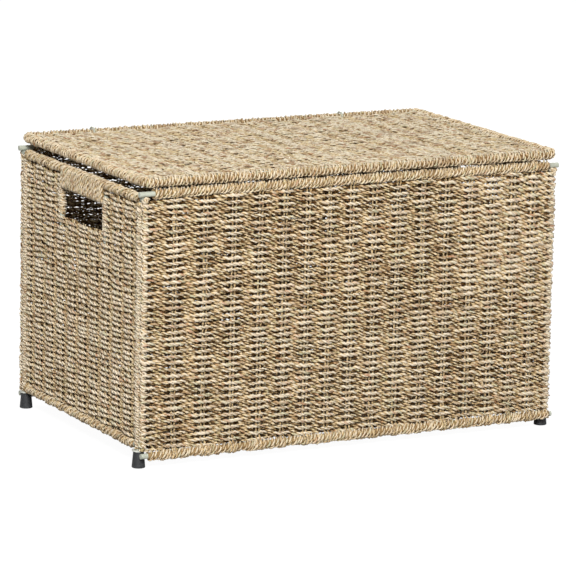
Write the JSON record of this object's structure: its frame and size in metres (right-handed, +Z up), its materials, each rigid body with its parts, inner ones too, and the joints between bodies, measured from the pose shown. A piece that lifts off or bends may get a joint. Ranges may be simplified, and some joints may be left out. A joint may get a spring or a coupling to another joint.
{
  "type": "woven storage trunk",
  "caption": "Free-standing woven storage trunk on a bent rod frame, with cord-bound rim and grips, hand openings in the ends, capped feet and a lift-up lid on loose wire hinge rings.",
  "frame": {"origin": "middle of the footprint, on the floor under the foot caps", "axes": "+X along the trunk's length, the front is at -Y, the hinge rings are at +Y, +Z up"},
  "size_m": [0.5755, 0.372, 0.3546],
  "materials": {
    "painted_rod": "satin",
    "bound_cord": "matte",
    "woven_cord": "matte",
    "lid_cord": "matte",
    "upright_cord": "matte",
    "foot_cap": "satin",
    "washer": "satin",
    "hinge_wire": "satin"
  },
  "bodies": {
    "trunk": {"top_rim_rod": "painted_rod", "post_front_left": "painted_rod", "post_front_right": "painted_rod", "post_back_left": "painted_rod", "post_back_right": "painted_rod", "base_rod_front": "painted_rod", "base_rod_back": "painted_rod", "base_rod_left": "painted_rod", "base_rod_right": "painted_rod", "floor_cross_rods": "painted_rod", "handle_frame_left": "painted_rod", "handle_frame_right": "painted_rod", "rim_wrap_front": "bound_cord", "rim_wrap_back": "bound_cord", "rim_wrap_left": "bound_cord", "rim_wrap_right": "bound_cord", "base_wrap_front": "bound_cord", "base_wrap_back": "bound_cord", "base_wrap_left": "bound_cord", "base_wrap_right": "bound_cord", "handle_grip_left": "bound_cord", "handle_grip_right": "bound_cord", "weave_front": "woven_cord", "weave_back": "woven_cord", "weave_left": "woven_cord", "weave_right": "woven_cord", "floor_weave": "woven_cord", "warp_cords_front": "upright_cord", "warp_cords_back": "upright_cord", "warp_cords_left": "upright_cord", "warp_cords_right": "upright_cord", "foot_front_left": "foot_cap", "foot_front_right": "foot_cap", "foot_back_left": "foot_cap", "foot_back_right": "foot_cap", "foot_washers": "washer"},
    "hinge_rings": {"hinge_ring_left": "hinge_wire", "hinge_ring_right": "hinge_wire"},
    "lid": {"lid_frame_rod": "painted_rod", "lid_cross_rods": "painted_rod", "lid_wrap_front": "bound_cord", "lid_wrap_back": "bound_cord", "lid_wrap_left": "bound_cord", "lid_wrap_right": "bound_cord", "lid_wrap_corners": "bound_cord", "lid_weave": "lid_cord"}
  },
  "joints": [
    {"name": "ring_swing", "type": "hinge", "parent": "trunk", "child": "hinge_rings", "pos_m": [0, 0.1765, 0.3323], "axis": [-1, 0, 0], "range_deg": [0, 106]},
    {"name": "lid_hinge", "type": "hinge", "parent": "hinge_rings", "child": "lid", "pos_m": [0, 0.1729, 0.3463], "axis": [-1, 0, 0], "range_deg": [0, 140]}
  ]
}
